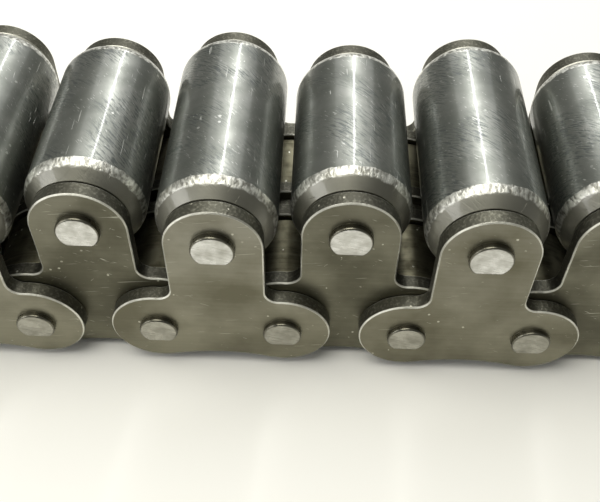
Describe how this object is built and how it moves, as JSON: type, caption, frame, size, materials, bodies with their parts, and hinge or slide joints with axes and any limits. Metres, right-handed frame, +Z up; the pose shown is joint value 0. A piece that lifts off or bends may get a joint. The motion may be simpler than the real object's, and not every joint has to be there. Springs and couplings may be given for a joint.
{
  "type": "roller chain",
  "caption": "Double-strand steel conveyor chain run whose raised link plates carry wide free-turning top rollers above the base rollers.",
  "frame": {"origin": "bottom centre of the straight run, on the plane of the inner plates' lower edges", "axes": "+X along the chain, +Y across it towards the back strand, +Z up towards the top rollers"},
  "size_m": [0.4024, 0.1146, 0.0977],
  "materials": {
    "plate_steel": "satin blanked plate, rough cut edges",
    "bush_steel": "ground",
    "pin_steel": "polished ends",
    "top_roller_steel": "turned and scuffed",
    "base_roller_steel": "turned"
  },
  "bodies": {
    "inner_link_1": {"inner_link_1_front_plate": "plate_steel", "inner_link_1_back_plate": "plate_steel", "inner_link_1_mid_plates": "plate_steel", "inner_link_1_bushes": "bush_steel", "inner_link_1_top_pin": "pin_steel"},
    "outer_link_1": {"outer_link_1_front_plate": "plate_steel", "outer_link_1_back_plate": "plate_steel", "outer_link_1_centre_plate": "plate_steel", "outer_link_1_chain_pins": "pin_steel", "outer_link_1_top_pin": "pin_steel"},
    "inner_link_2": {"inner_link_2_front_plate": "plate_steel", "inner_link_2_back_plate": "plate_steel", "inner_link_2_mid_plates": "plate_steel", "inner_link_2_bushes": "bush_steel", "inner_link_2_top_pin": "pin_steel"},
    "outer_link_2": {"outer_link_2_front_plate": "plate_steel", "outer_link_2_back_plate": "plate_steel", "outer_link_2_centre_plate": "plate_steel", "outer_link_2_chain_pins": "pin_steel", "outer_link_2_top_pin": "pin_steel"},
    "inner_link_3": {"inner_link_3_front_plate": "plate_steel", "inner_link_3_back_plate": "plate_steel", "inner_link_3_mid_plates": "plate_steel", "inner_link_3_bushes": "bush_steel", "inner_link_3_top_pin": "pin_steel"},
    "outer_link_3": {"outer_link_3_front_plate": "plate_steel", "outer_link_3_back_plate": "plate_steel", "outer_link_3_centre_plate": "plate_steel", "outer_link_3_chain_pins": "pin_steel", "outer_link_3_top_pin": "pin_steel"},
    "inner_link_4": {"inner_link_4_front_plate": "plate_steel", "inner_link_4_back_plate": "plate_steel", "inner_link_4_mid_plates": "plate_steel", "inner_link_4_bushes": "bush_steel", "inner_link_4_top_pin": "pin_steel"},
    "inner_link_1_top_roller": {"inner_link_1_top_roller": "top_roller_steel"},
    "inner_link_1_front_left_base_roller": {"inner_link_1_front_left_base_roller": "base_roller_steel"},
    "inner_link_1_front_right_base_roller": {"inner_link_1_front_right_base_roller": "base_roller_steel"},
    "inner_link_1_back_left_base_roller": {"inner_link_1_back_left_base_roller": "base_roller_steel"},
    "inner_link_1_back_right_base_roller": {"inner_link_1_back_right_base_roller": "base_roller_steel"},
    "outer_link_1_top_roller": {"outer_link_1_top_roller": "top_roller_steel"},
    "inner_link_2_top_roller": {"inner_link_2_top_roller": "top_roller_steel"},
    "inner_link_2_front_left_base_roller": {"inner_link_2_front_left_base_roller": "base_roller_steel"},
    "inner_link_2_front_right_base_roller": {"inner_link_2_front_right_base_roller": "base_roller_steel"},
    "inner_link_2_back_left_base_roller": {"inner_link_2_back_left_base_roller": "base_roller_steel"},
    "inner_link_2_back_right_base_roller": {"inner_link_2_back_right_base_roller": "base_roller_steel"},
    "outer_link_2_top_roller": {"outer_link_2_top_roller": "top_roller_steel"},
    "inner_link_3_top_roller": {"inner_link_3_top_roller": "top_roller_steel"},
    "inner_link_3_front_left_base_roller": {"inner_link_3_front_left_base_roller": "base_roller_steel"},
    "inner_link_3_front_right_base_roller": {"inner_link_3_front_right_base_roller": "base_roller_steel"},
    "inner_link_3_back_left_base_roller": {"inner_link_3_back_left_base_roller": "base_roller_steel"},
    "inner_link_3_back_right_base_roller": {"inner_link_3_back_right_base_roller": "base_roller_steel"},
    "outer_link_3_top_roller": {"outer_link_3_top_roller": "top_roller_steel"},
    "inner_link_4_top_roller": {"inner_link_4_top_roller": "top_roller_steel"},
    "inner_link_4_front_left_base_roller": {"inner_link_4_front_left_base_roller": "base_roller_steel"},
    "inner_link_4_front_right_base_roller": {"inner_link_4_front_right_base_roller": "base_roller_steel"},
    "inner_link_4_back_left_base_roller": {"inner_link_4_back_left_base_roller": "base_roller_steel"},
    "inner_link_4_back_right_base_roller": {"inner_link_4_back_right_base_roller": "base_roller_steel"}
  },
  "joints": [
    {"name": "inner_link_3_fold", "type": "hinge", "parent": "outer_link_2", "child": "inner_link_3", "pos_m": [0.0254, 0, 0.0234], "axis": [0, 1, 0], "range_deg": [-4, 40]},
    {"name": "outer_link_3_fold", "type": "hinge", "parent": "inner_link_3", "child": "outer_link_3", "pos_m": [0.0762, 0, 0.0234], "axis": [0, 1, 0], "range_deg": [-4, 40]},
    {"name": "inner_link_4_fold", "type": "hinge", "parent": "outer_link_3", "child": "inner_link_4", "pos_m": [0.127, 0, 0.0234], "axis": [0, 1, 0], "range_deg": [-4, 40]},
    {"name": "inner_link_2_fold", "type": "hinge", "parent": "outer_link_2", "child": "inner_link_2", "pos_m": [-0.0254, 0, 0.0234], "axis": [0, -1, 0], "range_deg": [-4, 40]},
    {"name": "outer_link_1_fold", "type": "hinge", "parent": "inner_link_2", "child": "outer_link_1", "pos_m": [-0.0762, 0, 0.0234], "axis": [0, -1, 0], "range_deg": [-4, 40]},
    {"name": "inner_link_1_fold", "type": "hinge", "parent": "outer_link_1", "child": "inner_link_1", "pos_m": [-0.127, 0, 0.0234], "axis": [0, -1, 0], "range_deg": [-4, 40]},
    {"name": "inner_link_1_top_roller_spin", "type": "hinge", "parent": "inner_link_1", "child": "inner_link_1_top_roller", "pos_m": [-0.1524, 0, 0.0744], "axis": [0, 1, 0], "continuous": true},
    {"name": "inner_link_1_front_left_base_roller_spin", "type": "hinge", "parent": "inner_link_1", "child": "inner_link_1_front_left_base_roller", "pos_m": [-0.1778, -0.02565, 0.0234], "axis": [0, 1, 0], "continuous": true},
    {"name": "inner_link_1_front_right_base_roller_spin", "type": "hinge", "parent": "inner_link_1", "child": "inner_link_1_front_right_base_roller", "pos_m": [-0.127, -0.02565, 0.0234], "axis": [0, 1, 0], "continuous": true},
    {"name": "inner_link_1_back_left_base_roller_spin", "type": "hinge", "parent": "inner_link_1", "child": "inner_link_1_back_left_base_roller", "pos_m": [-0.1778, 0.02565, 0.0234], "axis": [0, 1, 0], "continuous": true},
    {"name": "inner_link_1_back_right_base_roller_spin", "type": "hinge", "parent": "inner_link_1", "child": "inner_link_1_back_right_base_roller", "pos_m": [-0.127, 0.02565, 0.0234], "axis": [0, 1, 0], "continuous": true},
    {"name": "outer_link_1_top_roller_spin", "type": "hinge", "parent": "outer_link_1", "child": "outer_link_1_top_roller", "pos_m": [-0.1016, 0, 0.0744], "axis": [0, 1, 0], "continuous": true},
    {"name": "inner_link_2_top_roller_spin", "type": "hinge", "parent": "inner_link_2", "child": "inner_link_2_top_roller", "pos_m": [-0.0508, 0, 0.0744], "axis": [0, 1, 0], "continuous": true},
    {"name": "inner_link_2_front_left_base_roller_spin", "type": "hinge", "parent": "inner_link_2", "child": "inner_link_2_front_left_base_roller", "pos_m": [-0.0762, -0.02565, 0.0234], "axis": [0, 1, 0], "continuous": true},
    {"name": "inner_link_2_front_right_base_roller_spin", "type": "hinge", "parent": "inner_link_2", "child": "inner_link_2_front_right_base_roller", "pos_m": [-0.0254, -0.02565, 0.0234], "axis": [0, 1, 0], "continuous": true},
    {"name": "inner_link_2_back_left_base_roller_spin", "type": "hinge", "parent": "inner_link_2", "child": "inner_link_2_back_left_base_roller", "pos_m": [-0.0762, 0.02565, 0.0234], "axis": [0, 1, 0], "continuous": true},
    {"name": "inner_link_2_back_right_base_roller_spin", "type": "hinge", "parent": "inner_link_2", "child": "inner_link_2_back_right_base_roller", "pos_m": [-0.0254, 0.02565, 0.0234], "axis": [0, 1, 0], "continuous": true},
    {"name": "outer_link_2_top_roller_spin", "type": "hinge", "parent": "outer_link_2", "child": "outer_link_2_top_roller", "pos_m": [0, 0, 0.0744], "axis": [0, 1, 0], "continuous": true},
    {"name": "inner_link_3_top_roller_spin", "type": "hinge", "parent": "inner_link_3", "child": "inner_link_3_top_roller", "pos_m": [0.0508, 0, 0.0744], "axis": [0, 1, 0], "continuous": true},
    {"name": "inner_link_3_front_left_base_roller_spin", "type": "hinge", "parent": "inner_link_3", "child": "inner_link_3_front_left_base_roller", "pos_m": [0.0254, -0.02565, 0.0234], "axis": [0, 1, 0], "continuous": true},
    {"name": "inner_link_3_front_right_base_roller_spin", "type": "hinge", "parent": "inner_link_3", "child": "inner_link_3_front_right_base_roller", "pos_m": [0.0762, -0.02565, 0.0234], "axis": [0, 1, 0], "continuous": true},
    {"name": "inner_link_3_back_left_base_roller_spin", "type": "hinge", "parent": "inner_link_3", "child": "inner_link_3_back_left_base_roller", "pos_m": [0.0254, 0.02565, 0.0234], "axis": [0, 1, 0], "continuous": true},
    {"name": "inner_link_3_back_right_base_roller_spin", "type": "hinge", "parent": "inner_link_3", "child": "inner_link_3_back_right_base_roller", "pos_m": [0.0762, 0.02565, 0.0234], "axis": [0, 1, 0], "continuous": true},
    {"name": "outer_link_3_top_roller_spin", "type": "hinge", "parent": "outer_link_3", "child": "outer_link_3_top_roller", "pos_m": [0.1016, 0, 0.0744], "axis": [0, 1, 0], "continuous": true},
    {"name": "inner_link_4_top_roller_spin", "type": "hinge", "parent": "inner_link_4", "child": "inner_link_4_top_roller", "pos_m": [0.1524, 0, 0.0744], "axis": [0, 1, 0], "continuous": true},
    {"name": "inner_link_4_front_left_base_roller_spin", "type": "hinge", "parent": "inner_link_4", "child": "inner_link_4_front_left_base_roller", "pos_m": [0.127, -0.02565, 0.0234], "axis": [0, 1, 0], "continuous": true},
    {"name": "inner_link_4_front_right_base_roller_spin", "type": "hinge", "parent": "inner_link_4", "child": "inner_link_4_front_right_base_roller", "pos_m": [0.1778, -0.02565, 0.0234], "axis": [0, 1, 0], "continuous": true},
    {"name": "inner_link_4_back_left_base_roller_spin", "type": "hinge", "parent": "inner_link_4", "child": "inner_link_4_back_left_base_roller", "pos_m": [0.127, 0.02565, 0.0234], "axis": [0, 1, 0], "continuous": true},
    {"name": "inner_link_4_back_right_base_roller_spin", "type": "hinge", "parent": "inner_link_4", "child": "inner_link_4_back_right_base_roller", "pos_m": [0.1778, 0.02565, 0.0234], "axis": [0, 1, 0], "continuous": true}
  ]
}
